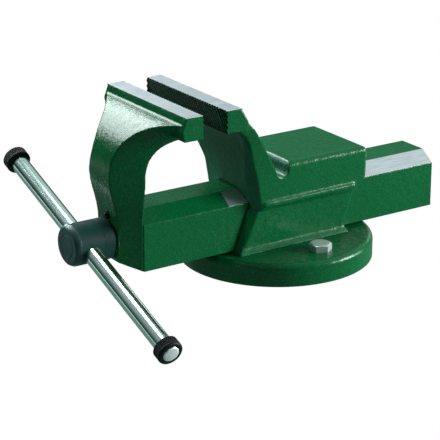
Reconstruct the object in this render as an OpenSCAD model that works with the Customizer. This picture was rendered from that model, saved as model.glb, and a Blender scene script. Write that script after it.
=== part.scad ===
// Parallel bench vise on a round swivel base, with a cranked forged front jaw.
// Frame: origin on the swivel axis at bench level, +X along the spindle towards
// the back, +Z up. The near side is -Y. The jaws are stored part open.

/* [Jaws] */
// Width of both jaws
jaw_w = 120; // [100:1:150]
// Height of the jaw tops above the top of the guide bar
jaw_rise = 83.1; // [70:0.1:105]
// Height of the toothed faces
face_h = 18.5; // [14:0.5:24]
// Opening at which the vise is stored
opening = 21.5; // [10:0.5:40]
// Place of the fixed jaw's face along the spindle
fixed_face_x = -89.3; // [-100:0.1:-80]
// Thickness of the front jaw at its top
front_jaw_t = 15.5; // [12:0.5:20]
// Thickness of the fixed jaw at its top
fixed_jaw_t = 14; // [12:0.5:20]
// Pitch of the diagonal teeth
tooth_pitch = 2.8; // [2:0.1:4]
// Depth of the diagonal teeth
tooth_depth = 1; // [0.5:0.1:1.4]
// Slant of the teeth from the horizontal
tooth_slant = 52; // [40:1:60]

/* [Front arm] */
// Half width of the arm's front surface
arm_front_half = 15.9; // [13:0.1:20]
// Distance from the jaw face back to the arm's inner wall at the bar
throat_reach = 35.9; // [30:0.1:45]
// Thickness of the arm where the spindle passes through
hub_t = 16.7; // [14:0.1:24]

/* [Guide bar] */
// Length of the bar behind the arm
bar_len = 293.8; // [260:0.1:330]
// Height of the bar
bar_h = 48.6; // [44:0.1:60]
// Side wall of the bar, outside its channel
bar_wall = 10.2; // [7:0.1:14]
// Half width of the bar's flat top
bar_top_half = 13.8; // [11:0.1:16]
// Height of the slanted guide faces
guide_face_h = 9.35; // [6:0.05:12]

/* [Body] */
// Side wall of the body beside the bar
body_wall = 6.2; // [5:0.1:9]
// How far the upper body stands out past the lower body
upper_step = 3.5; // [2:0.1:5]
// Height of the anvil flat above the top of the bar
anvil_rise = 22.3; // [18:0.1:30]
// Place of the back end of the anvil
anvil_back_x = 67.5; // [58:0.5:80]
// Radius of the anvil's edges
anvil_edge_r = 5; // [2:0.1:6.5]
// Radius of the bead along the body
bead_r = 3.6; // [3:0.1:4]
// Thickness of the body's floor under the bar
floor_t = 2; // [2:0.1:4]

/* [Spindle] */
// Diameter of the trapezoidal thread
thread_d = 24; // [20:0.5:30]
// Height of the spindle axis above the bottom of the bar
spindle_rise = 24.7; // [22:0.1:28]
// Diameter of the plain journal in the arm
journal_d = 20; // [16:0.5:24]
// Wall of the bronze bush in the arm
bush_wall = 2.5; // [2:0.1:3.5]
// Diameter of the spindle head
head_d = 34.2; // [30:0.2:42]
// Length of the drilled section of the head
head_len = 20.5; // [19:0.1:30]
// Length of the end cap on the head
cap_len = 5.3; // [4:0.1:8]
// Length of the sleeve between head and arm
sleeve_len = 9.8; // [8:0.1:14]
// Wall of the nut beside the thread
nut_wall = 4.5; // [4:0.1:7]
// Length of the threaded part of the nut
nut_len = 36; // [28:1:48]

/* [Handle] */
// Diameter of the handle rod
rod_d = 14.5; // [12:0.1:18]
// Length of the handle rod
rod_len = 262; // [200:1:320]
// Outer diameter of the rubber end rings
ring_d = 21; // [18:0.5:26]
// Width of the rubber end rings
ring_w = 10; // [7:0.5:14]
// How far the rod is slid towards the near side
rod_shift = 9.8; // [0:0.1:20]
// Slope of the rod, near end low
rod_tilt = 20; // [0:1:45]

/* [Swivel base] */
// Diameter of the round base
base_d = 165; // [150:1:200]
// Height of the round base
base_h = 20; // [18:0.5:26]
// Thickness of the upper disc
disc_t = 9; // [7:0.5:12]
// Radius of the disc's top edge
disc_edge_r = 5; // [3:0.5:6]
// Wall of the disc's skirt
skirt_t = 7.5; // [6:0.5:10]
// Radius at which the clamp bolts sit
clamp_r = 58.6; // [54:0.1:62]
// Diameter of the clamp bolts
clamp_d = 10; // [8:1:12]
// Hole circle of the bench bolts
bench_pcd = 72; // [64:1:80]
// Diameter of the bench bolt holes
bench_hole_d = 11; // [9:0.5:13]
// Diameter of the pivot pin
pivot_d = 20; // [14:1:26]

/* [Clearances] */
// Gap on each side of the sliding bar
slide_gap = 0.3; // [0.2:0.05:0.5]
// Radial play of shafts, pins and threads
shaft_play = 0.05; // [0.02:0.01:0.08]
// Gap between parts that pass each other
part_gap = 0.3; // [0.2:0.05:0.5]

/* [Hidden] */
$fn = 64;
EPS = 0.01;
HULL_FN = 32;

// Heights
bar_z = base_h + floor_t + slide_gap;
bar_top = bar_z + bar_h;
spindle_z = bar_z + spindle_rise;
jaw_top = bar_top + jaw_rise;
anvil_z = bar_top + anvil_rise;

// Widths
thread_r = thread_d / 2;
nut_half = thread_r + nut_wall;
nut_gap = 1;
channel_half = nut_half + nut_gap;
bar_half = channel_half + bar_wall;
lower_half = bar_half + slide_gap + body_wall;
upper_half = lower_half + upper_step;
jaw_half = jaw_w / 2;

// Places along the spindle
front_face_x = fixed_face_x - opening;
arm_back_x = front_face_x - throat_reach;
arm_front_x = arm_back_x - hub_t;
bar_back_x = arm_back_x + bar_len;
washer_t = 1.6;
sleeve_x = arm_front_x - part_gap - washer_t;
head_x = sleeve_x - sleeve_len;
cap_x = head_x - head_len;
rod_x = cap_x + 9.2;

// Shared details
journal_r = journal_d / 2;
spigot_r = journal_r - 1;
sleeve_bore_r = journal_r + 4;
head_r = head_d / 2;
head_spigot_len = sleeve_len - 0.8;
head_grip = head_spigot_len + 3.2;
bush_r = journal_r + bush_wall;
rod_r = rod_d / 2;
rod_hole_r = rod_r + 0.1;
clamp_shank_r = clamp_d / 2;
clamp_hole_r = clamp_shank_r + 0.5;
clamp_head_h = 0.64 * clamp_d;
clamp_head_af = 1.7 * clamp_d;
clamp_turn = 4;
lip_t = 3;
track_floor_t = 2.5;
track_half = clamp_shank_r + 4;
slot_half = clamp_shank_r + 0.6;
plate_top = base_h - disc_t - part_gap;
track_top = plate_top - lip_t;
skirt_bottom = 0.8;
screw_r = 4;
screw_head_r = 6.5;
screw_head_h = 8;
nut_base_t = 10;
nut_front_x = -38;
nut_base_front_x = nut_front_x - 2 * screw_head_r - 3;
nut_base_back_x = nut_front_x + nut_len + 2 * screw_head_r + 10;
nut_screw_y = 9.5;
spindle_back_x = bar_back_x - 12.1;
stop_washer_t = 3;
gib_t = 3;
gib_x = -38;
gib_len = 80;
gib_z = bar_z + 8;
gib_h = 24;
gib_screw_r = 3;

// --- helpers -------------------------------------------------------------

// Extrudes an outline drawn in X and Z across the width
module across(half) {
    translate([0, half, 0])
        rotate([90, 0, 0])
            linear_extrude(2 * half)
                children();
}

// Extrudes an outline drawn in Y and Z along the spindle
module along(x0, len) {
    translate([x0, 0, 0])
        rotate([90, 0, 90])
            linear_extrude(len)
                children();
}

// Solid of revolution about the spindle axis, outline in distance and radius
module turned(x0, outline) {
    translate([x0, 0, spindle_z])
        rotate([0, 90, 0])
            rotate_extrude()
                polygon([for (p = outline) [p[1], p[0]]]);
}

module x_rod(x0, len, r) {
    translate([x0, 0, spindle_z])
        rotate([0, 90, 0])
            cylinder(h = len, r = r);
}

// Places children in the handle's frame: +Z runs along the rod to its near end
module on_handle(at = 0) {
    translate([rod_x, 0, spindle_z])
        rotate([90 + rod_tilt, 0, 0])
            translate([0, 0, at])
                children();
}

function smooth(t) = let (c = max(0, min(1, t))) c * c * (3 - 2 * c);
function mix(a, b, t) = a + (b - a) * t;

// Closed skin through rings of equal length, stacked from first to last
module loft(rings) {
    m = len(rings[0]);
    n = len(rings);
    sides = [for (i = [0:n - 2], j = [0:m - 1])
        let (a = i * m + j, b = i * m + (j + 1) % m)
            each [[a, a + m, b + m], [a, b + m, b]]];
    first = [for (j = [0:m - 1]) j];
    last = [for (j = [m - 1:-1:0]) (n - 1) * m + j];
    polyhedron(points = [for (r = rings) each r], faces = concat(sides, [first, last]));
}

// --- swivel base ---------------------------------------------------------

module swivel_plate() {
    plate_r = base_d / 2 - skirt_t - 0.5;
    counterbore_z = 4;
    counterbore_r = bench_hole_d / 2 + 4.5;
    color("dimgray")
        difference() {
            cylinder(h = plate_top, r = plate_r);
            translate([0, 0, -EPS])
                cylinder(h = plate_top + 2 * EPS, r = pivot_d / 2);
            rotate_extrude()
                translate([clamp_r - track_half, track_floor_t])
                    square([2 * track_half, track_top - track_floor_t]);
            rotate_extrude()
                translate([clamp_r - slot_half, track_top - EPS])
                    square([2 * slot_half, lip_t + 2 * EPS]);
            // window through which the nuts drop into the track
            translate([clamp_r - track_half, -2 * track_half, track_floor_t])
                cube([2 * track_half, 4 * track_half, plate_top]);
            for (a = [45:90:315])
                rotate([0, 0, a])
                    translate([bench_pcd / 2, 0, 0]) {
                        translate([0, 0, -EPS])
                            cylinder(h = plate_top, d = bench_hole_d);
                        translate([0, 0, counterbore_z])
                            cylinder(h = plate_top, r = counterbore_r);
                    }
        }
}

module pivot_pin() {
    color("silver")
        translate([0, 0, track_floor_t])
            cylinder(h = base_h - part_gap - track_floor_t, r = pivot_d / 2);
}

module swivel_disc() {
    r = base_d / 2;
    e = disc_edge_r;
    color([0.03, 0.30, 0.16])
        difference() {
            union() {
                translate([0, 0, skirt_bottom])
                    cylinder(h = base_h - e - skirt_bottom, r = r);
                cylinder_top_edge(r, e);
            }
            translate([0, 0, -EPS])
                cylinder(h = base_h - disc_t + EPS, r = r - skirt_t);
            cylinder(h = base_h + 1, r = pivot_d / 2 + shaft_play);
            clamp_places()
                cylinder(h = base_h + 1, r = clamp_hole_r);
            nut_screw_places()
                translate([0, 0, base_h - disc_t + 1])
                    cylinder(h = disc_t, r = screw_r + 0.02);
        }
}

// Top of the disc with its rounded edge
module cylinder_top_edge(r, e) {
    translate([0, 0, base_h - e])
        rotate_extrude()
            union() {
                square([r - e, e]);
                translate([r - e, 0])
                    intersection() {
                        circle(r = e);
                        square(e);
                    }
            }
}

module clamp_places() {
    for (side = [-1, 1])
        clamp_place(side)
            children();
}

module clamp_place(side) {
    rotate([0, 0, side * (90 - clamp_turn)])
        translate([clamp_r, 0, 0])
            children();
}

module t_nuts() {
    nut_h = track_top - track_floor_t - 2 * part_gap;
    color("gray")
        clamp_places()
            translate([0, 0, track_floor_t + part_gap])
                difference() {
                    translate([-track_half + 1.6, -track_half - 3, 0])
                        cube([2 * track_half - 3.2, 2 * track_half + 6, nut_h]);
                    translate([0, 0, -EPS])
                        cylinder(h = nut_h + 1, r = clamp_shank_r + shaft_play);
                }
}

module clamp_bolt(side) {
    shank_bottom = track_floor_t + 2 * part_gap;
    chamfer_h = 1.2;
    color("lightgray")
        clamp_place(side)
            union() {
                translate([0, 0, shank_bottom])
                    cylinder(h = base_h - shank_bottom + 1, r = clamp_shank_r);
                translate([0, 0, base_h])
                    intersection() {
                        cylinder(h = clamp_head_h, d = clamp_head_af / cos(30), $fn = 6);
                        rotate_extrude()
                            polygon([[0, 0], [clamp_head_af, 0],
                                     [clamp_head_af / cos(30) / 2, clamp_head_h - chamfer_h],
                                     [clamp_head_af / 2 - chamfer_h, clamp_head_h],
                                     [0, clamp_head_h]]);
                    }
            }
}

module clamp_bolt_near() {
    clamp_bolt(-1);
}

module clamp_bolt_far() {
    clamp_bolt(1);
}

// --- body ----------------------------------------------------------------

// Outline of the guide bar, grown by g
function bar_outline(g = 0) = [
    [-bar_half - g, bar_z - g],
    [bar_half + g, bar_z - g],
    [bar_half + g, bar_top - guide_face_h + g / 2],
    [bar_top_half + g / 2, bar_top + g],
    [-bar_top_half - g / 2, bar_top + g],
    [-bar_half - g, bar_top - guide_face_h + g / 2]];

// Neck of the fixed jaw: swept from the bar's shoulder up into the jaw
neck_z = bar_top - 15;
notch_z = anvil_z - 12.2;
sweep_z = anvil_z - 8.2;
jaw_low = jaw_top - face_h;
jaw_corner_z = jaw_top - 11.2;
wall_x = fixed_face_x + 75.3;
notch_r = 4.6;
NECK_STEPS = 20;
function neck_ring(z) =
    let (t = max(0, (z - sweep_z) / (jaw_low - sweep_z)),
         u = max(0, (z - notch_z) / (jaw_low - notch_z)),
         front = fixed_face_x + 38.8 + max(0, sweep_z - z) / 6 - 17 * t - 12.5 * pow(t, 5),
         back = fixed_face_x + 66.3 - 39.4 * pow(u, 1.24),
         half = upper_half + (jaw_half - upper_half) * min(0.9, pow(t, 1.6)),
         inside = max(front, fixed_face_x + 5),
         corner = mix(6, 1.5, min(1, t)))
        [[inside, -half + corner, z], [inside + corner, -half, z], [back, -half, z],
         [back, half, z], [inside + corner, half, z], [inside, half - corner, z]];

module fixed_jaw_block() {
    across(jaw_half)
        polygon([[fixed_face_x, jaw_low], [fixed_face_x + fixed_jaw_t + 5.9, jaw_low - 1],
                 [fixed_face_x + fixed_jaw_t + 6.7, jaw_corner_z],
                 [fixed_face_x + fixed_jaw_t, jaw_top], [fixed_face_x, jaw_top]]);
}

// Anvil block with rounded edges, and the notch behind the jaw
module anvil_block() {
    r = anvil_edge_r;
    low = neck_z;
    back = anvil_back_x + 1;
    front = wall_x - 20;
    notch = [for (a = [0:-20:-140])
        [wall_x - notch_r + notch_r * cos(a), notch_z + notch_r + notch_r * sin(a)]];
    intersection() {
        across(upper_half)
            union() {
                polygon(concat(
                    [[wall_x - 18, low], [anvil_back_x - 11, low],
                     [anvil_back_x - 1, low + 10], [back, low + 20],
                     [anvil_back_x, anvil_z - r], [anvil_back_x - r, anvil_z],
                     [wall_x + r, anvil_z], [wall_x, anvil_z - r]],
                    notch, [[wall_x - 18, notch_z + 1]]));
                for (x = [wall_x + r, anvil_back_x - r])
                    translate([x, anvil_z - r])
                        circle(r = r);
            }
        along(front, back - front + 10)
            union() {
                translate([-upper_half, low])
                    square([2 * upper_half, anvil_z - r - low]);
                translate([-upper_half + r, low])
                    square([2 * (upper_half - r), anvil_z - low]);
                for (y = [-1, 1])
                    translate([y * (upper_half - r), anvil_z - r])
                        circle(r = r);
            }
        translate([0, 0, low - 1])
            linear_extrude(anvil_z - low + 2)
                union() {
                    translate([front, -upper_half])
                        square([back - r - front, 2 * upper_half]);
                    translate([front, -upper_half + r])
                        square([back - front, 2 * (upper_half - r)]);
                    for (y = [-1, 1])
                        translate([back - r, y * (upper_half - r)])
                            circle(r = r);
                }
    }
}

// Lower body, leaning forward to the base, with its front corners taken off
module lower_block() {
    top = bar_top - 14;
    corner = 9;
    hull() {
        across(lower_half)
            polygon([[-39.6, top], [-57, base_h], [45, base_h], [56.7, top]]);
        across(lower_half - body_wall + 1)
            polygon([[-39.6 - corner, top], [-57 - corner / 2, base_h], [45, base_h], [56.7, top]]);
    }
}

// Weld that joins the body to the disc
module foot_weld() {
    leg = 6.5;
    run = 3.6;
    hull() {
        translate([-58 - run, -lower_half - run, base_h])
            cube([104 + 2 * run, 2 * (lower_half + run), EPS]);
        translate([-56, -lower_half + 1, base_h + leg])
            cube([103, 2 * lower_half - 2, EPS]);
    }
}

module bead() {
    z = bar_top - 10.4;
    for (side = [-1, 1])
        translate([-36.5, side * (upper_half - bead_r / 2), z]) {
            rotate([0, 90, 0])
                cylinder(h = anvil_back_x + 23, r = bead_r);
            sphere(r = bead_r);
        }
}

module vise_body() {
    color([0.03, 0.32, 0.17])
        difference() {
            union() {
                loft([for (i = [0:NECK_STEPS])
                    neck_ring(mix(neck_z, jaw_corner_z, i / NECK_STEPS))]);
                fixed_jaw_block();
                anvil_block();
                lower_block();
                foot_weld();
                bead();
            }
            along(-120, 240)
                polygon(bar_outline(slide_gap));
            teeth(fixed_face_x, 1);
            gib_pocket(slide_gap);
            gib_screw_places()
                cylinder(h = 12, r = gib_screw_r + 0.02);
            nut_screw_places()
                cylinder(h = base_h + floor_t + 1, r = screw_r + 0.5);
        }
}

// Rows of slanted V grooves cut into a jaw face; dir is the way into the jaw
module teeth(face_x, dir) {
    reach = jaw_w;
    count = ceil(2 * reach / tooth_pitch);
    intersection() {
        translate([face_x, 0, jaw_low + face_h / 2])
            rotate([dir * tooth_slant, 0, 0])
                translate([0, reach, 0])
                    rotate([90, 0, 0])
                        linear_extrude(2 * reach)
                            polygon(concat(
                                [for (i = [0:count])
                                    [i % 2 == 0 ? 0 : dir * tooth_depth,
                                     (i - count / 2) * tooth_pitch / 2]],
                                [[-dir, count * tooth_pitch / 4],
                                 [-dir, -count * tooth_pitch / 4]]));
        translate([face_x - 2, -jaw_half - 1, jaw_low])
            cube([4, jaw_w + 2, face_h + 1]);
    }
}

// --- gib and nut ---------------------------------------------------------

module gib_pocket(gap) {
    translate([gib_x - gap, bar_half, gib_z - gap])
        cube([gib_len + 2 * gap, gib_t + slide_gap + gap, gib_h + 2 * gap]);
}

module gib_strip() {
    color("silver")
        translate([gib_x, bar_half + slide_gap / 2, gib_z])
            cube([gib_len, gib_t, gib_h]);
}

module gib_screw_places() {
    for (x = [gib_x + 16, gib_x + gib_len - 16])
        translate([x, bar_half + slide_gap / 2 + gib_t, gib_z + gib_h / 2])
            rotate([-90, 0, 0])
                children();
}

module gib_screws() {
    screw_len = lower_half - bar_half - gib_t - slide_gap / 2 + 1;
    socket_r = 1.7;
    color("dimgray")
        gib_screw_places()
            difference() {
                cylinder(h = screw_len, r = gib_screw_r);
                translate([0, 0, screw_len - 2.5])
                    cylinder(h = 3, r = socket_r, $fn = 6);
            }
}

module nut_screw_places() {
    for (x = [nut_base_front_x + screw_head_r + 1, nut_base_back_x - screw_head_r - 1],
         y = [-nut_screw_y, nut_screw_y])
        translate([x, y, 0])
            children();
}

module spindle_nut() {
    top = spindle_z + thread_r + 1.5;
    floor_z = base_h + floor_t;
    color("darkgoldenrod")
        difference() {
            union() {
                translate([nut_front_x, -nut_half, floor_z])
                    cube([nut_len, 2 * nut_half, top - floor_z]);
                translate([nut_base_front_x, -nut_half, floor_z])
                    cube([nut_base_back_x - nut_base_front_x, 2 * nut_half, nut_base_t]);
            }
            x_rod(nut_front_x - 1, nut_len + 2, thread_r + shaft_play);
            nut_screw_places() {
                cylinder(h = 3 * base_h, r = screw_r + 0.5);
                translate([0, 0, floor_z + nut_base_t - screw_head_h])
                    cylinder(h = 3 * base_h, r = screw_head_r + 0.3);
            }
        }
}

module nut_screws() {
    head_z = base_h + floor_t + nut_base_t - screw_head_h;
    bottom = base_h - disc_t + 1.5;
    color("dimgray")
        nut_screw_places()
            difference() {
                union() {
                    translate([0, 0, bottom])
                        cylinder(h = head_z - bottom + 1, r = screw_r);
                    translate([0, 0, head_z])
                        cylinder(h = screw_head_h - part_gap, r = screw_head_r);
                }
                translate([0, 0, head_z + screw_head_h / 2])
                    cylinder(h = screw_head_h, r = 0.55 * screw_head_r, $fn = 6);
            }
}

// --- front jaw -----------------------------------------------------------

// The arm is a loft of four-cornered rings: straight up from the bar, then
// round an outer and an inner arc into the jaw.
outer_r = 48.5;
inner_r = 30;
outer_c = [front_face_x - 11.2, jaw_top - 54];
inner_c = [front_face_x - 2.8, jaw_top - 55];
arch_z = inner_c[1] + inner_r;
flare_z = jaw_top - 41.3;
flare_r = 35.3;
ARM_STEPS = 10;
ARC_STEPS = 20;

// Half width at a height: straight, then round a concave flare to the jaw's ends
function flare(half, z) =
    let (r = arm_front_half + flare_r - half, dz = z - flare_z,
         reach = jaw_half - half - r)
        dz <= 0 ? half : dz >= r ? jaw_half
            : half + r - sqrt(r * r - dz * dz) + reach * pow(dz / r, 10);

function arm_ring(outer, inner) =
    let (wo = flare(arm_front_half, outer[1]), wi = flare(bar_half, inner[1]))
        [[outer[0], -wo, outer[1]], [inner[0], -wi, inner[1]],
         [inner[0], wi, inner[1]], [outer[0], wo, outer[1]]];

function arm_post_ring(t) =
    let (zo = mix(bar_z + 7.7, outer_c[1], t), zi = mix(bar_z, inner_c[1], t),
         bulge = smooth((zo - spindle_z - 15.5) / 38))
        arm_ring([mix(arm_front_x, outer_c[0] - outer_r, bulge), zo],
                 [mix(arm_back_x, inner_c[0] - inner_r, bulge), zi]);

function arm_arc_ring(a) =
    arm_ring([outer_c[0] - outer_r * cos(a), outer_c[1] + outer_r * sin(a)],
             [inner_c[0] - inner_r * cos(a), inner_c[1] + inner_r * sin(a)]);

module front_jaw_block() {
    low = jaw_low - 0.5;
    back = front_face_x - front_jaw_t;
    across(jaw_half)
        polygon([[front_face_x, low], [front_face_x, jaw_top], [back, jaw_top],
                 [back - 1, jaw_top - 2.7], [back - 3.9, jaw_top - 10.4], [back - 2.3, low]]);
}

module front_jaw() {
    color([0.03, 0.32, 0.17])
        difference() {
            union() {
                loft(concat([for (i = [0:ARM_STEPS - 1]) arm_post_ring(i / ARM_STEPS)],
                            [for (i = [0:ARC_STEPS]) arm_arc_ring(90 * i / ARC_STEPS)]));
                front_jaw_block();
                // filling between the arch and the jaw face
                across(flare(bar_half, arch_z) - EPS)
                    polygon([[inner_c[0] - EPS, arch_z], [front_face_x, arch_z],
                             [front_face_x, jaw_low], [inner_c[0] - EPS, jaw_low]]);
            }
            along(arm_back_x, hub_t)
                polygon(bar_outline());
            x_rod(arm_front_x - 20, hub_t + 40, bush_r);
            nipple_place() {
                cylinder(h = 20, r = NIPPLE_R, center = true);
                cylinder(h = 20, r = NIPPLE_R + 1.5);
            }
            teeth(front_face_x, -1);
        }
}

module guide_bar() {
    ceiling = spindle_z + thread_r + 3;
    color([0.03, 0.32, 0.17])
        difference() {
            along(arm_back_x, bar_len)
                polygon(bar_outline());
            translate([arm_back_x - 1, -channel_half, bar_z - 1])
                cube([bar_len + 2, 2 * channel_half, ceiling - bar_z + 1]);
        }
}

module spindle_bush() {
    color("peru")
        difference() {
            x_rod(arm_front_x, hub_t, bush_r);
            x_rod(arm_front_x - 1, hub_t + 2, journal_r + shaft_play);
        }
}

NIPPLE_R = 2.2;
module nipple_place() {
    translate([arm_front_x, 0, spindle_z + head_r + 2.4])
        rotate([0, -90, 0])
            children();
}

module oil_nipple() {
    color("darkslategray")
        nipple_place()
            union() {
                translate([0, 0, -9])
                    cylinder(h = 10, r = NIPPLE_R);
                cylinder(h = 1.2, r = NIPPLE_R + 1.2);
                translate([0, 0, 1.2])
                    sphere(r = 1.7);
            }
}

// --- spindle -------------------------------------------------------------

module spindle() {
    shoulder_x = arm_back_x + part_gap;
    tip_x = head_x + head_spigot_len - head_grip;
    step_x = head_x + head_spigot_len;
    bevel = 2;
    color("gray")
        difference() {
            union() {
                x_rod(tip_x, step_x - tip_x + 1, spigot_r);
                x_rod(step_x, shoulder_x - step_x + 1, journal_r);
                turned(shoulder_x, [[0, 0], [0, thread_r - bevel], [bevel, thread_r],
                                    [spindle_back_x - shoulder_x - bevel, thread_r],
                                    [spindle_back_x - shoulder_x, thread_r - bevel],
                                    [spindle_back_x - shoulder_x, 0]]);
            }
            x_rod(spindle_back_x - 18, 20, screw_r);
            head_pin_place()
                cylinder(h = 4 * head_r, r = PIN_R, center = true);
        }
}

PIN_R = 2;
// The pin lies across the head's spigot, under the sleeve
module head_pin_place() {
    translate([head_x + head_spigot_len / 2, 0, spindle_z])
        rotate([-23, 0, 0])
            children();
}

module head_pin() {
    color("dimgray")
        head_pin_place()
            cylinder(h = 2 * sleeve_bore_r - 1, r = PIN_R, center = true);
}

module spindle_head() {
    cap_seat = 2;
    color([0.08, 0.16, 0.16])
        difference() {
            union() {
                x_rod(cap_x, head_len, head_r);
                x_rod(head_x - EPS, head_spigot_len + EPS, sleeve_bore_r);
                x_rod(cap_x - cap_seat, cap_seat + EPS, head_r - 4);
            }
            on_handle()
                cylinder(h = 3 * head_d, r = rod_hole_r, center = true);
            x_rod(head_x + head_spigot_len - head_grip, head_grip + 1, spigot_r);
            head_pin_place()
                cylinder(h = 4 * head_r, r = PIN_R, center = true);
        }
}

module head_cap() {
    ring_r = 9;
    groove = 0.5;
    color([0.08, 0.16, 0.16])
        difference() {
            turned(cap_x - cap_len, [[0, 0], [0, head_r - 2.6], [1.2, head_r - 1.2],
                                     [3.4, head_r - 0.2], [cap_len, head_r], [cap_len, 0]]);
            x_rod(cap_x - 2, 3, head_r - 4);
            turned(cap_x - cap_len, [[-1, ring_r], [-1, ring_r + groove],
                                     [groove, ring_r + groove], [groove, ring_r]]);
        }
}

module thrust_sleeve() {
    rear_t = sleeve_len - head_spigot_len;
    color([0.08, 0.16, 0.16])
        difference() {
            turned(head_x, [[0, 0], [0, head_r], [sleeve_len - 1, head_r],
                            [sleeve_len, head_r - 1], [sleeve_len, 0]]);
            x_rod(head_x - 1, sleeve_len - rear_t + 1, sleeve_bore_r);
            x_rod(head_x, sleeve_len + 1, journal_r);
        }
}

module thrust_washer() {
    color("silver")
        difference() {
            x_rod(sleeve_x, washer_t, head_r - 2.1);
            x_rod(sleeve_x - 1, washer_t + 2, journal_r);
        }
}

module stop_washer() {
    color("silver")
        difference() {
            x_rod(spindle_back_x, stop_washer_t, thread_r + 2);
            x_rod(spindle_back_x - 1, stop_washer_t + 2, screw_r);
        }
}

module stop_screw() {
    head_h = 5.3;
    color("lightgray")
        union() {
            x_rod(spindle_back_x - 16, 16 + stop_washer_t + 1, screw_r);
            translate([spindle_back_x + stop_washer_t, 0, spindle_z])
                rotate([0, 90, 0])
                    cylinder(h = head_h, r = 13 / 2 / cos(30), $fn = 6);
        }
}

// --- handle --------------------------------------------------------------

near_end = rod_len / 2 + rod_shift;
far_end = rod_len / 2 - rod_shift;
ring_inset = 1;

module handle_rod() {
    bevel = 1.2;
    color("gainsboro")
        on_handle(-far_end)
            rotate_extrude()
                polygon([[0, 0], [rod_r - bevel, 0], [rod_r, bevel],
                         [rod_r, rod_len - bevel], [rod_r - bevel, rod_len], [0, rod_len]]);
}

module handle_ring(at) {
    edge = 1.5;
    color([0.05, 0.08, 0.08])
        on_handle(at)
            rotate_extrude()
                polygon([[rod_r, 0], [ring_d / 2 - edge / 2, 0], [ring_d / 2, edge / 2],
                         [ring_d / 2, ring_w - edge], [ring_d / 2 - edge, ring_w], [rod_r, ring_w]]);
}

module handle_ring_near() {
    handle_ring(near_end - ring_inset - ring_w);
}

module handle_ring_far() {
    mirror_at = -far_end + ring_inset;
    handle_ring(mirror_at);
}

swivel_plate();
pivot_pin();
swivel_disc();
vise_body();
t_nuts();
clamp_bolt_near();
clamp_bolt_far();
spindle_nut();
nut_screws();
gib_strip();
gib_screws();
front_jaw();
guide_bar();
spindle_bush();
oil_nipple();
spindle();
spindle_head();
head_pin();
head_cap();
thrust_sleeve();
thrust_washer();
stop_washer();
stop_screw();
handle_rod();
handle_ring_near();
handle_ring_far();
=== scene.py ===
import math

import bmesh
import bpy
from mathutils import Matrix, Vector, noise


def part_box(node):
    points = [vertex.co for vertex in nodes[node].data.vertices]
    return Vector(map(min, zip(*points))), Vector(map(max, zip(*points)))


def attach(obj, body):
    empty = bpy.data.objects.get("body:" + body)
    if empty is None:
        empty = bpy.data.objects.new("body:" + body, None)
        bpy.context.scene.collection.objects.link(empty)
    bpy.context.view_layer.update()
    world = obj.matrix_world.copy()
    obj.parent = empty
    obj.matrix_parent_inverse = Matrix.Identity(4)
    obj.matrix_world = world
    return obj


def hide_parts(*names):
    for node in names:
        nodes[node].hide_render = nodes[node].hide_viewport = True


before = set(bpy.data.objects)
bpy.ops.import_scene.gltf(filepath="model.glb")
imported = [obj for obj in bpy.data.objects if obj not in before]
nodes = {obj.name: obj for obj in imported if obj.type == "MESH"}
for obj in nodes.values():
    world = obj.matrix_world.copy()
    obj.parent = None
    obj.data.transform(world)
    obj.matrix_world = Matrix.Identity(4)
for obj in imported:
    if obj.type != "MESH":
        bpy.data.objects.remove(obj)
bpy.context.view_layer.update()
MM = 0.001


# --- materials -----------------------------------------------------------

def colour_ramp(tree, value, stops):
    """Turns a value into a colour; each stop is (position, colour)."""
    n = tree.nodes.new("ShaderNodeValToRGB")
    for element, (at, colour) in zip(n.color_ramp.elements, (stops[0], stops[-1])):
        element.position = at
        element.color = (*colour, 1)
    for at, colour in stops[1:-1]:
        n.color_ramp.elements.new(at).color = (*colour, 1)
    tree.links.new(value, n.inputs["Fac"])
    return n.outputs["Color"]


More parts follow.
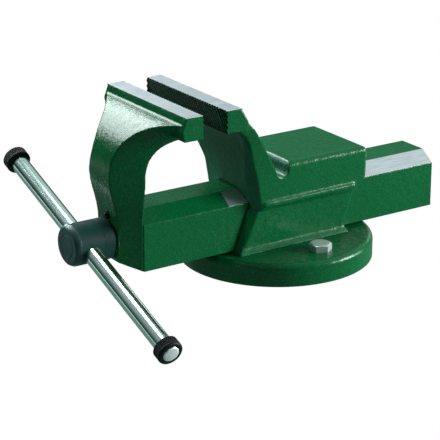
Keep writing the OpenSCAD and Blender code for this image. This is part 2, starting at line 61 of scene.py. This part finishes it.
class Look:
    """A procedural material on one Principled shader, built from noises in object space."""

    def __init__(self, name, metallic=0.0, specular=0.5):
        self.mat = bpy.data.materials.new(name)
        self.mat.use_nodes = True
        self.tree = self.mat.node_tree
        self.shader = self.tree.nodes["Principled BSDF"]
        self.set("Metallic", metallic)
        self.set("Specular IOR Level", specular)
        self.coord = self.tree.nodes.new("ShaderNodeTexCoord").outputs["Object"]
        self.normal = None

    def set(self, socket, value):
        self.shader.inputs[socket].default_value = value

    def link(self, a, b):
        self.tree.links.new(a, b)

    def new(self, kind, **inputs):
        n = self.tree.nodes.new(kind)
        for k, v in inputs.items():
            n.inputs[k.replace("_", " ")].default_value = v
        return n

    def noise(self, scale, detail=2.0, rough=0.5, stretch=(1, 1, 1)):
        m = self.new("ShaderNodeMapping")
        m.inputs["Scale"].default_value = stretch
        self.link(self.coord, m.inputs["Vector"])
        n = self.new("ShaderNodeTexNoise", Scale=scale, Detail=detail, Roughness=rough)
        self.link(m.outputs["Vector"], n.inputs["Vector"])
        return n.outputs["Fac"]

    def ramp(self, value, stops):
        return colour_ramp(self.tree, value, stops)

    def span(self, value, low, high, start=0.3, end=0.7):
        n = self.new("ShaderNodeMapRange", From_Min=start, From_Max=end, To_Min=low, To_Max=high)
        self.link(value, n.inputs["Value"])
        return n.outputs["Result"]

    def mix(self, mask, a, b):
        n = self.tree.nodes.new("ShaderNodeMix")
        n.data_type = "RGBA"
        for socket, v in ((n.inputs[0], mask), (n.inputs[6], a), (n.inputs[7], b)):
            if isinstance(v, tuple):
                socket.default_value = (*v, 1)
            elif isinstance(v, float):
                socket.default_value = v
            else:
                self.link(v, socket)
        return n.outputs[2]

    def colour(self, value):
        self.link(value, self.shader.inputs["Base Color"])

    def rough(self, value):
        self.link(value, self.shader.inputs["Roughness"])

    def bump(self, height, distance):
        n = self.new("ShaderNodeBump", Strength=1.0, Distance=distance)
        self.link(height, n.inputs["Height"])
        if self.normal:
            self.link(self.normal, n.inputs["Normal"])
        self.normal = n.outputs["Normal"]
        self.link(self.normal, self.shader.inputs["Normal"])


def enamel(name, deep, mid, light, rough=(0.19, 0.29), grain=1.0, streak=0.0):
    """Hammered enamel: mottled colour, orange-peel skin and, with streak, coarse forging marks."""
    k = Look(name, specular=0.25)
    fine = k.noise(800, 3, 0.6)
    broad = k.noise(22, 2, 0.5)
    tone = k.ramp(fine, [(0.30, deep), (0.52, mid), (0.78, light)])
    k.colour(k.mix(k.span(broad, 0.0, 0.35), tone, deep))
    k.rough(k.span(fine, *rough))
    if streak:
        k.bump(k.noise(90, 4, 0.7, (1, 1, 0.35)), 0.0012 * streak)
    k.bump(k.noise(170, 2, 0.5), 0.00035 * grain)
    k.bump(fine, 0.00013 * grain)
    return k.mat


def steel(name, dark, mid, light, stretch,
          rough=(0.25, 0.40), scale=260, bump=0.00003, metallic=1.0):
    """Ground or turned steel: fine lines along one direction, with faint stains."""
    k = Look(name, metallic=metallic)
    lines = k.noise(scale, 4, 0.6, stretch)
    stain = k.noise(35, 3, 0.6)
    tone = k.ramp(lines, [(0.25, dark), (0.5, mid), (0.8, light)])
    k.colour(k.mix(k.span(stain, 0.0, 0.30), tone, dark))
    k.rough(k.span(lines, *rough))
    k.bump(lines, bump)
    return k.mat


def moulded(name, deep, mid, rough, specular=0.4):
    """Rubber, plastic or matt paint: a fine grain with slight tone changes."""
    k = Look(name, specular=specular)
    grain = k.noise(1400, 2, 0.5)
    broad = k.noise(60, 2, 0.5)
    k.colour(k.mix(k.span(broad, 0.0, 1.0), deep, mid))
    k.rough(k.span(grain, *rough))
    k.bump(grain, 0.00006)
    return k.mat


# colours run from dark to light, the last triple of a steel is how its lines are stretched
EVEN = (1, 1, 1)
GREEN = enamel("green_enamel",
               (0.0010, 0.072, 0.020), (0.0016, 0.106, 0.031), (0.004, 0.155, 0.052))
GREEN_FORGED = enamel("green_forged",
                      (0.006, 0.075, 0.036), (0.011, 0.14, 0.065), (0.024, 0.20, 0.11),
                      rough=(0.42, 0.60), grain=1.6, streak=1.0)
GROUND = steel("ground_steel", (0.56, 0.61, 0.64), (0.67, 0.72, 0.75), (0.77, 0.81, 0.83),
               (0.06, 1, 1), rough=(0.37, 0.48), scale=900)
TEETH = steel("teeth_black", (0.006, 0.007, 0.008), (0.014, 0.015, 0.017), (0.04, 0.042, 0.045),
              EVEN, rough=(0.45, 0.6))
TURNED = steel("turned_steel", (0.30, 0.30, 0.31), (0.45, 0.46, 0.47), (0.60, 0.61, 0.62),
               (1, 0.05, 0.05))
ZINC = steel("zinc_plate", (0.56, 0.66, 0.62), (0.68, 0.79, 0.75), (0.80, 0.88, 0.85),
             EVEN, rough=(0.30, 0.42), scale=500, metallic=0.7)
# the chrome's green tint is partly a painted reflection of the green enamel around the rod
CHROME = steel("chrome_plate", (0.58, 0.76, 0.70), (0.66, 0.84, 0.78), (0.72, 0.89, 0.84),
               EVEN, rough=(0.15, 0.19), scale=40, bump=0.000001)
BLACK = steel("black_oxide", (0.012, 0.012, 0.014), (0.03, 0.03, 0.033), (0.06, 0.06, 0.065),
              EVEN, rough=(0.35, 0.5))
BRONZE = steel("bronze", (0.32, 0.19, 0.07), (0.50, 0.33, 0.14), (0.64, 0.46, 0.22),
               (1, 0.06, 0.06), rough=(0.3, 0.45))
HEAD = moulded("head_paint", (0.006, 0.030, 0.027), (0.010, 0.048, 0.043),
               rough=(0.36, 0.48), specular=0.15)
ROD_END = steel("rod_end", (0.60, 0.66, 0.65), (0.74, 0.80, 0.79), (0.86, 0.90, 0.89),
                EVEN, rough=(0.40, 0.52), metallic=0.35)
CAP = moulded("cap_plastic", (0.010, 0.046, 0.048), (0.018, 0.070, 0.070), rough=(0.32, 0.45))
RUBBER = moulded("ring_rubber", (0.002, 0.004, 0.004), (0.005, 0.008, 0.008),
                 rough=(0.45, 0.6), specular=0.2)


def cast_iron():
    """Bare grey iron with a coarse sand-cast grain."""
    k = Look("cast_iron", metallic=0.6, specular=0.4)
    grain = k.noise(380, 4, 0.65)
    k.colour(k.ramp(grain, [(0.3, (0.05, 0.05, 0.052)), (0.6, (0.12, 0.12, 0.125)),
                            (0.8, (0.19, 0.19, 0.19))]))
    k.rough(k.span(grain, 0.5, 0.75))
    k.bump(grain, 0.0003)
    return k.mat


IRON = cast_iron()


# --- mesh helpers --------------------------------------------------------

VOXEL = 0.75 * MM    # grid of a forging's skin
DENT = 0.12 * MM     # depth of the forging dents
EDGE_ANGLE = math.radians(28)    # edges sharper than this are broken


def add(name, mesh, body, replaced=(), smooth_deg=32):
    """Makes a piece from a mesh that rides on a body; smooth_deg 0 keeps the mesh's own shading."""
    if smooth_deg:
        mesh.shade_smooth()
        mesh.set_sharp_from_angle(angle=math.radians(smooth_deg))
    o = bpy.data.objects.new(name, mesh)
    bpy.context.scene.collection.objects.link(o)
    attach(o, body)
    if replaced:
        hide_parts(*replaced)
    return o


def from_bmesh(bm, name):
    """Makes a mesh and frees the bmesh."""
    bmesh.ops.recalc_face_normals(bm, faces=bm.faces)
    mesh = bpy.data.meshes.new(name)
    bm.to_mesh(mesh)
    bm.free()
    return mesh


def cad_bmesh(node):
    """A CAD node's triangles with their corners joined."""
    bm = bmesh.new()
    bm.from_mesh(nodes[node].data)
    bmesh.ops.remove_doubles(bm, verts=bm.verts, dist=2e-6)
    return bm


def modified(mesh, *mods):
    """Returns a new mesh with modifiers applied; each is (type, {settings})."""
    o = bpy.data.objects.new("work", mesh)
    bpy.context.scene.collection.objects.link(o)
    for kind, settings in mods:
        m = o.modifiers.new(kind, kind)
        for k, v in settings.items():
            setattr(m, k, v)
    bpy.context.view_layer.update()
    out = bpy.data.meshes.new_from_object(o.evaluated_get(bpy.context.evaluated_depsgraph_get()))
    bpy.data.objects.remove(o)
    return out


def all_of(bm):
    return bm.verts[:] + bm.edges[:] + bm.faces[:]


def trim(bm, point, normal):
    """Cuts away what lies on the normal's side of a plane, and closes the cut."""
    cut = bmesh.ops.bisect_plane(bm, geom=all_of(bm), plane_co=Vector(point),
                                 plane_no=Vector(normal), clear_outer=True, dist=1e-7)
    edges = [e for e in cut["geom_cut"] if isinstance(e, bmesh.types.BMEdge)]
    bmesh.ops.holes_fill(bm, edges=edges, sides=0)


def forged(bm, name, rounds):
    """Soft-edged skin: voxel remesh, smoothing, then shallow inward forging dents."""
    mesh = modified(from_bmesh(bm, name),
                    ("REMESH", {"mode": "VOXEL", "voxel_size": VOXEL}),
                    ("SMOOTH", {"factor": 0.5, "iterations": rounds}))
    normals = [v.normal.copy() for v in mesh.vertices]
    for v, normal in zip(mesh.vertices, normals):
        n = noise.noise(v.co * 90) + 0.5 * noise.noise(v.co * 210)
        v.co -= normal * DENT * (0.5 + 0.5 * n)
    mesh.shade_smooth()
    return mesh


def flat_bmesh(node):
    """A CAD node's shape with the triangles of each flat face merged."""
    bm = cad_bmesh(node)
    bmesh.ops.dissolve_limit(bm, angle_limit=math.radians(0.4), verts=bm.verts, edges=bm.edges)
    return bm


def eased(bm, name, width, segments=2):
    """A mesh with its sharp edges broken, shaded so that large faces stay flat."""
    mesh = from_bmesh(bm, name)
    mesh.shade_smooth()
    return modified(mesh, ("BEVEL", {"width": width, "segments": segments,
                                     "limit_method": "ANGLE", "angle_limit": EDGE_ANGLE}),
                    ("WEIGHTED_NORMAL", {"weight": 100}))


def paint(mesh, mats, rule=lambda centre, normal: 0):
    """Gives each face the material whose number the rule returns."""
    for m in mats:
        mesh.materials.append(m)
    for p in mesh.polygons:
        p.material_index = rule(p.center, p.normal)


# --- sizes ---------------------------------------------------------------

body_lo, body_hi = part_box("vise_body")
arm_lo, arm_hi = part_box("front_jaw")
bar_lo, bar_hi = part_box("guide_bar")
spindle_lo, spindle_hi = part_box("spindle")
axis_z = (spindle_lo.z + spindle_hi.z) / 2
jaw_top = body_hi.z
fixed_face_x = body_lo.x
front_face_x = arm_hi.x

FACE_H = 18.5 * MM       # height of the toothed faces
FACE_DEPTH = 2.4 * MM    # thickness of the piece that carries the teeth
TOP_DEPTH = 0.9 * MM     # thickness of the ground top
LAP = 0.1 * MM           # how far the painted skin runs up inside the ground top
LIP = 0.02 * MM          # how far the toothed piece runs below its face
PROUD = 0.04 * MM        # how far the toothed piece stands out of the skin
BARE_FROM = 24 * MM      # bare guides start this far behind the fixed face
ROUGH_DROP = 20 * MM     # rough paint reaches this far below the bar's top
ROUGH_LAP = 1 * MM       # and this far above the lower edge of the teeth
jaw_low = jaw_top - FACE_H


# --- jaws ----------------------------------------------------------------

def jaw(node, body, face_x, into, prefix, rounds, skin_rule):
    """Splits a jaw forging into its soft painted body, its toothed face and its ground top.

    into is the side of the face, along X, that the metal is on.
    """
    top_z = jaw_top - TOP_DEPTH
    bm = bmesh.new()
    bm.from_mesh(forged(cad_bmesh(node), prefix + "_forging", rounds))
    trim(bm, (0, 0, top_z + LAP), (0, 0, 1))
    skin = from_bmesh(bm, prefix + "_forging")
    paint(skin, [GREEN, GREEN_FORGED], skin_rule)
    skin.shade_smooth()
    add(prefix + "_forging", skin, body, [node], smooth_deg=0)

    bm = cad_bmesh(node)
    trim(bm, (face_x + into * FACE_DEPTH, 0, 0), (into, 0, 0))
    trim(bm, (0, 0, jaw_low - LIP), (0, 0, -1))
    trim(bm, (0, 0, top_z), (0, 0, 1))
    for v in bm.verts:
        v.co.x -= into * PROUD
    teeth = from_bmesh(bm, prefix + "_teeth")
    side_y = arm_hi.y - 0.1 * MM
    paint(teeth, [TEETH, GREEN], lambda c, n: 1 if abs(n.y) > 0.95 and abs(c.y) > side_y else 0)
    add(prefix + "_teeth", teeth, body, smooth_deg=20)

    bm = cad_bmesh(node)
    trim(bm, (0, 0, top_z), (0, 0, -1))
    top = from_bmesh(bm, prefix + "_top")
    paint(top, [GROUND, GREEN, TEETH],
          lambda c, n: 0 if n.z > 0.7 else (2 if n.x * into < -0.3 else 1))
    add(prefix + "_top", top, body, smooth_deg=20)


def rough_front(c, n):
    """The body's front below the teeth is left as forged, under thinner paint."""
    return 1 if n.x < -0.55 and bar_hi.z - ROUGH_DROP < c.z < jaw_low + ROUGH_LAP else 0


jaw("front_jaw", "sliding_jaw", front_face_x, -1, "front_jaw", 6, lambda c, n: 0)
jaw("vise_body", "fixed_body", fixed_face_x, 1, "body", 10, rough_front)


# --- guide bar -----------------------------------------------------------

bare_x = fixed_face_x + BARE_FROM


def bar_rule(c, n):
    """The slanted guides are bare behind the fixed jaw, and the rest is painted."""
    guide = abs(n.y) > 0.35 and n.z > 0.5
    return 1 if guide and c.x > bare_x else 0


bm = flat_bmesh("guide_bar")
bmesh.ops.bisect_plane(bm, geom=all_of(bm), plane_co=Vector((bare_x, 0, 0)),
                       plane_no=Vector((1, 0, 0)))
mesh = eased(bm, "guide_bar_mesh", 0.8 * MM, segments=3)
paint(mesh, [GREEN, GROUND], bar_rule)
add("guide_bar_forging", mesh, "sliding_jaw", ["guide_bar"], smooth_deg=0)


# --- pieces that only need their edges broken ----------------------------

for node, width, material, body in (    # width of the broken edge in mm
        ("swivel_disc", 0.35, GREEN, "fixed_body"), ("swivel_plate", 0.4, IRON, "bench_base"),
        ("pivot_pin", 0.6, TURNED, "bench_base"), ("t_nuts", 0.4, BLACK, "fixed_body"),
        ("spindle_nut", 0.5, BRONZE, "fixed_body"), ("nut_screws", 0.3, BLACK, "fixed_body"),
        ("gib_strip", 0.2, GROUND, "fixed_body"), ("gib_screws", 0.15, BLACK, "fixed_body"),
        ("spindle_bush", 0.3, BRONZE, "sliding_jaw"), ("head_pin", 0.2, BLACK, "screw"),
        ("spindle_head", 0.3, HEAD, "screw"), ("head_cap", 0.25, CAP, "screw"),
        ("thrust_sleeve", 0.3, HEAD, "screw"), ("thrust_washer", 0.2, BLACK, "screw"),
        ("stop_washer", 0.3, ZINC, "screw"), ("stop_screw", 0.3, ZINC, "screw"),
        ("clamp_bolt_near", 0.35, ZINC, "bolt_near"), ("clamp_bolt_far", 0.35, ZINC, "bolt_far")):
    mesh = eased(flat_bmesh(node), node + "_mesh", width * MM)
    paint(mesh, [material])
    add(node + "_finished", mesh, body, [node], smooth_deg=0)


# --- turned pieces -------------------------------------------------------

def about(origin, direction):
    """Moves a shape that is turned about +Z to an origin, with its axis along a direction."""
    return Matrix.Translation(origin) @ direction.to_track_quat("Z", "Y").to_matrix().to_4x4()


def lathe(profile, steps, wave=None):
    """Revolves (height, radius) points about +Z; wave changes a radius with the angle."""
    bm = bmesh.new()
    rings = []
    for i in range(steps):
        a = 2 * math.pi * i / steps
        ring = []
        for h, r in profile:
            q = r if wave is None else wave(h, r, a)
            ring.append(bm.verts.new((q * math.cos(a), q * math.sin(a), h)))
        rings.append(ring)
    for i in range(steps):
        a, b = rings[i], rings[(i + 1) % steps]
        for j in range(len(profile) - 1):
            bm.faces.new((a[j], b[j], b[j + 1], a[j + 1]))
    bmesh.ops.remove_doubles(bm, verts=bm.verts, dist=1e-7)
    return bm


rod_lo, rod_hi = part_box("handle_rod")
rod_mid = (rod_lo + rod_hi) / 2
TILT = math.radians(20)    # the rod's slope, near end down
rod_dir = Vector((0, -math.cos(TILT), -math.sin(TILT)))
ROD_R = 7.25 * MM
RING_R = 10.5 * MM
RING_W = 10 * MM
RIBS = 40
RIB_DEPTH = 0.55 * MM
RIB_FROM_R = 9.8 * MM    # ribs are cut only outside this radius
RIB_FADE = 1.0 * MM


def ring_wave(h, r, a):
    """Axial ribs on the gripping band, fading out towards the shoulders."""
    fade = min(1, max(0, (h - 1.2 * MM) / RIB_FADE), max(0, (RING_W - 2.2 * MM - h) / RIB_FADE))
    cut = RIB_DEPTH * abs(math.sin(a * RIBS / 2)) ** 0.6
    return r - (RIB_DEPTH - cut) * fade if r > RIB_FROM_R else r


def ring(node):
    """A ribbed rubber ring, placed on the rod where the CAD node is."""
    lo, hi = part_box(node)
    profile = [(0, ROD_R), (0, 9.3 * MM), (0.3 * MM, 10.0 * MM), (0.9 * MM, RING_R)]
    profile += [((1.2 + 0.6 * i) * MM, RING_R) for i in range(12)]
    profile += [(8.5 * MM, 10.4 * MM), (9.1 * MM, 10.1 * MM), (9.6 * MM, 9.5 * MM),
                (9.9 * MM, 8.8 * MM), (RING_W, 8.2 * MM), (RING_W, ROD_R), (0, ROD_R)]
    bm = lathe(profile, RIBS * 8, ring_wave)
    along = ((lo + hi) / 2 - rod_mid).dot(rod_dir)
    bm.transform(about(rod_mid + rod_dir * (along - RING_W / 2), rod_dir))
    mesh = from_bmesh(bm, node + "_ribbed")
    paint(mesh, [RUBBER])
    add(node + "_ribbed", mesh, "handle", [node], smooth_deg=50)


ring("handle_ring_near")
ring("handle_ring_far")

# the rod, with softly domed ends
rod_len = (rod_hi.y - rod_lo.y - 2 * ROD_R * math.sin(TILT)) / math.cos(TILT)
tip = [(0, 0), (0, ROD_R - 1.9 * MM), (0.3 * MM, ROD_R - 1.05 * MM), (0.8 * MM, ROD_R - 0.5 * MM),
       (1.4 * MM, ROD_R - 0.12 * MM), (2.2 * MM, ROD_R)]
profile = tip + [(rod_len * i / 24, ROD_R) for i in range(1, 24)]
profile += [(rod_len - h, r) for h, r in reversed(tip)]
bm = lathe(profile, 96)
bm.transform(about(rod_mid - rod_dir * rod_len / 2, rod_dir))
mesh = from_bmesh(bm, "handle_rod_turned")
paint(mesh, [CHROME, ROD_END], lambda c, n: 1 if abs(n.y) > 0.80 else 0)
add("handle_rod_turned", mesh, "handle", ["handle_rod"])


def screw_thread(x0, x1, r_out, r_root, pitch, steps=48):
    """Right-hand trapezoidal thread about the spindle axis, as one helical strip without caps."""
    bm = bmesh.new()
    section = [(0.0, r_root), (0.34, r_root), (0.48, r_out), (0.86, r_out), (1.0, r_root)]
    turns = (x1 - x0) / pitch
    count = int(turns * steps)
    rings = []
    for i in range(count + 1):
        a = 2 * math.pi * i / steps
        ring = []
        for f, r in section:
            x = min(x1, max(x0, x0 + pitch * (i / steps + f - 1)))
            ring.append(bm.verts.new((x, r * math.cos(a), axis_z + r * math.sin(a))))
        rings.append(ring)
    for a, b in zip(rings, rings[1:]):
        for j in range(len(section) - 1):
            bm.faces.new((a[j], b[j], b[j + 1], a[j + 1]))
    bmesh.ops.remove_doubles(bm, verts=bm.verts, dist=1e-7)
    return bm


# the CAD spindle's threaded length is shrunk to a core, and the thread is wound on it
PITCH = 5 * MM
THREAD_DEPTH = 2.5 * MM
CORE_DEPTH = 2.6 * MM         # the core starts just below the thread's root
THREADED_OVER_R = 11 * MM     # only the threaded length is thicker than this
THREAD_START = 26.9 * MM      # behind the arm's front
thread_r = (spindle_hi.z - spindle_lo.z) / 2
bm = cad_bmesh("spindle")
for v in bm.verts:
    d = math.hypot(v.co.y, v.co.z - axis_z)
    if d > THREADED_OVER_R:
        s = (thread_r - CORE_DEPTH) / d
        v.co.y *= s
        v.co.z = axis_z + (v.co.z - axis_z) * s
core = from_bmesh(bm, "spindle_core")
paint(core, [TURNED])
add("spindle_core", core, "screw", ["spindle"])
bm = screw_thread(arm_lo.x + THREAD_START, spindle_hi.x, thread_r, thread_r - THREAD_DEPTH, PITCH)
mesh = from_bmesh(bm, "spindle_thread")
paint(mesh, [TURNED])
add("spindle_thread", mesh, "screw")

# the oil nipple points forwards; its profile is in shares of its height and radius
lo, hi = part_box("oil_nipple")
nip_r = (hi.y - lo.y) / 2
NIP_H = 2.9 * MM       # what stands out of the arm
NIP_ROOT = 3 * MM      # what is sunk in it
profile = [(-NIP_ROOT, 0.6 * nip_r)]
profile += [(h * NIP_H, r * nip_r) for h, r in (
    (0, 0.6), (0, 1), (0.3, 1), (0.4, 0.93), (0.46, 0.4), (0.6, 0.38), (0.7, 0.48),
    (0.85, 0.5), (0.96, 0.42), (1, 0.17), (0.93, 0))]
bm = lathe(profile, 48)
bm.transform(about(Vector((lo.x + NIP_H, (lo.y + hi.y) / 2, (lo.z + hi.z) / 2)),
                   Vector((-1, 0, 0))))
mesh = from_bmesh(bm, "oil_nipple_turned")
paint(mesh, [BLACK])
add("oil_nipple_turned", mesh, "sliding_jaw", ["oil_nipple"])


# --- stage, light and camera ---------------------------------------------

def area(name, place, aim, size, power, colour=(1, 1, 1)):
    """A rectangular light at a place, turned to an aim."""
    light = bpy.data.lights.new(name, "AREA")
    light.shape = "RECTANGLE"
    light.size, light.size_y = size
    light.energy = power
    light.color = colour
    o = bpy.data.objects.new(name, light)
    o.location = place
    o.rotation_euler = (Vector(aim) - Vector(place)).to_track_quat("-Z", "Y").to_euler()
    bpy.context.scene.collection.objects.link(o)


def seen_or_cast(tree, seen, cast, output, shader):
    """One colour where the camera looks and another for bounced light, whose mix it returns."""
    path = tree.nodes.new("ShaderNodeLightPath")
    colour = tree.nodes.new("ShaderNodeMix")
    colour.data_type = "RGBA"
    colour.inputs[6].default_value = (*cast, 1)
    colour.inputs[7].default_value = (*seen, 1)
    tree.links.new(path.outputs["Is Camera Ray"], colour.inputs[0])
    tree.links.new(colour.outputs[2], shader.inputs["Color"])
    tree.links.new(shader.outputs[0], output.inputs["Surface"])
    return colour


WHITE = (1, 1, 1)
FLOOR_Z = -0.2    # below the rod's low end
FLOOR_SIZE = 12
bpy.ops.mesh.primitive_plane_add(size=FLOOR_SIZE, location=(0, 0, FLOOR_Z))
floor = bpy.context.object
floor.name = "floor"
white = bpy.data.materials.new("pale_floor")
white.use_nodes = True
tree = white.node_tree
seen_or_cast(tree, WHITE, (0.16, 0.26, 0.23), tree.nodes["Material Output"],
             tree.nodes.new("ShaderNodeEmission"))
floor.data.materials.append(white)

# the room is dark low down and pale above, and a dark flag stands on its -X side
world = bpy.data.worlds.new("studio")
bpy.context.scene.world = world
world.use_nodes = True
tree = world.node_tree
mixer = seen_or_cast(tree, WHITE, (0, 0, 0), tree.nodes["World Output"], tree.nodes["Background"])
ray = tree.nodes.new("ShaderNodeSeparateXYZ")
tree.links.new(tree.nodes.new("ShaderNodeTexCoord").outputs["Generated"], ray.inputs[0])
dome = colour_ramp(tree, ray.outputs["Z"], [(0.20, (0.06, 0.09, 0.09)), (0.78, (0.80, 0.93, 0.93))])
flag = tree.nodes.new("ShaderNodeMapRange")
for socket, value in zip(("From Min", "From Max", "To Min", "To Max"), (0.25, 0.65, 0.38, 1.0)):
    flag.inputs[socket].default_value = value
tree.links.new(ray.outputs["X"], flag.inputs["Value"])
flagged = tree.nodes.new("ShaderNodeVectorMath")
flagged.operation = "SCALE"
tree.links.new(dome, flagged.inputs[0])
tree.links.new(flag.outputs["Result"], flagged.inputs["Scale"])
tree.links.new(flagged.outputs["Vector"], mixer.inputs[6])

area("key", (1.55, -1.05, 0.42), (0, 0, 0.07), (0.9, 0.7), 60)
area("back", (-0.31, 1.2, 0.98), (-0.12, 0, 0.12), (1.2, 0.60), 31, (0.90, 0.99, 1.0))
area("strip", (-0.12, 0.38, 1.25), (-0.05, 0, 0.05), (0.6, 0.2), 2.6, (0.92, 1.0, 0.98))
area("side", (-1.2, 1.1, -0.1), (-0.18, -0.05, 0.0), (1.2, 0.17), 0.4, (0.9, 1.0, 0.97))

# the camera looks at aim from an azimuth, an elevation and a distance
AZ, EL, DIST = math.radians(-33.49), math.radians(19.8), 1.6265
aim = Vector((0, 0.085, 0.0036))
away = Vector((math.sin(AZ) * math.cos(EL), -math.cos(AZ) * math.cos(EL), math.sin(EL)))
cam_data = bpy.data.cameras.new("camera")
cam_data.lens = 149.9
cam_data.sensor_width = 36
cam = bpy.data.objects.new("camera", cam_data)
cam.location = aim + away * DIST
cam.rotation_euler = (-away).to_track_quat("-Z", "Y").to_euler()
bpy.context.scene.collection.objects.link(cam)
bpy.context.scene.camera = cam
bpy.context.scene.view_settings.view_transform = "Standard"
